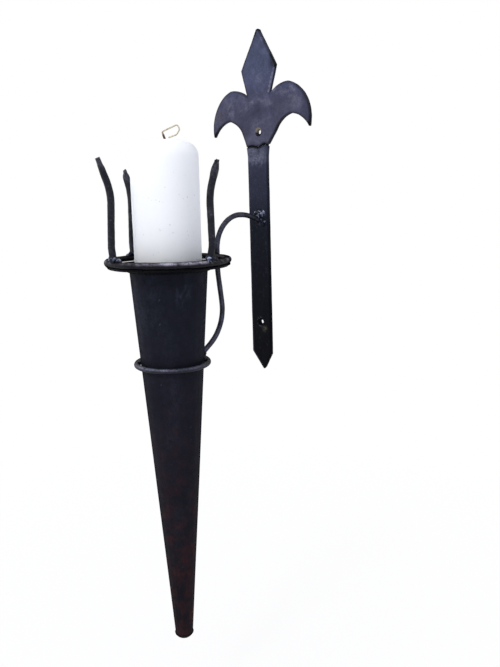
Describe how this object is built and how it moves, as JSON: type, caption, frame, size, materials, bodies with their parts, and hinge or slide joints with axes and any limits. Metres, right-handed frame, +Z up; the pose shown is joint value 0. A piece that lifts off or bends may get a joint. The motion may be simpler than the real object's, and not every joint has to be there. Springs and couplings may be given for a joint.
{
  "type": "torch sconce",
  "caption": "Wall torch sconce: flat bar with a fleur-de-lis head, bent rod arm, and a long iron cone with a crown of prongs round a pillar candle.",
  "frame": {"origin": "midway between the two screw holes, on the plate's back face (the wall)", "axes": "+Z up along the wall bar, +Y into the wall, +X to the right as one faces the wall; the torch stands out along -Y"},
  "size_m": [0.1526, 0.2179, 0.689],
  "materials": {
    "plate_iron": "matt blackened forged steel, mottled slate grey",
    "iron": "matt blackened steel rod, worn grey on its high spots",
    "sheet_iron": "matt blackened sheet steel with traces of rust",
    "weld_metal": "lumpy weld bead, brushed bright on its crests",
    "wax": "white candle wax, soft satin",
    "wick": "waxed cotton cord, cream with a dark foot"
  },
  "bodies": {
    "sconce": {"wall_bar": "plate_iron", "finial_plate": "plate_iron", "finial_weld": "weld_metal", "bracket_arm": "iron", "arm_wall_weld": "weld_metal", "arm_ring_weld": "weld_metal", "arm_hoop_weld": "weld_metal", "crown_ring": "iron", "ring_pan_welds": "weld_metal", "drip_pan": "iron", "pan_cone_weld": "weld_metal", "prong_front": "iron", "prong_left": "iron", "prong_right": "iron", "prong_front_weld": "weld_metal", "prong_left_weld": "weld_metal", "prong_right_weld": "weld_metal", "cone_body": "sheet_iron", "cone_tip": "sheet_iron", "cone_tip_weld": "weld_metal", "cone_seam_weld": "weld_metal", "hoop": "iron", "hoop_welds": "weld_metal", "pricket": "iron", "pricket_weld": "weld_metal"},
    "candle": {"candle_wax": "wax", "candle_wick": "wick"}
  },
  "joints": [
    {"name": "candle_lift", "type": "slide", "parent": "sconce", "child": "candle", "axis": [0, 0, 1], "range_m": [0, 0.12]}
  ]
}
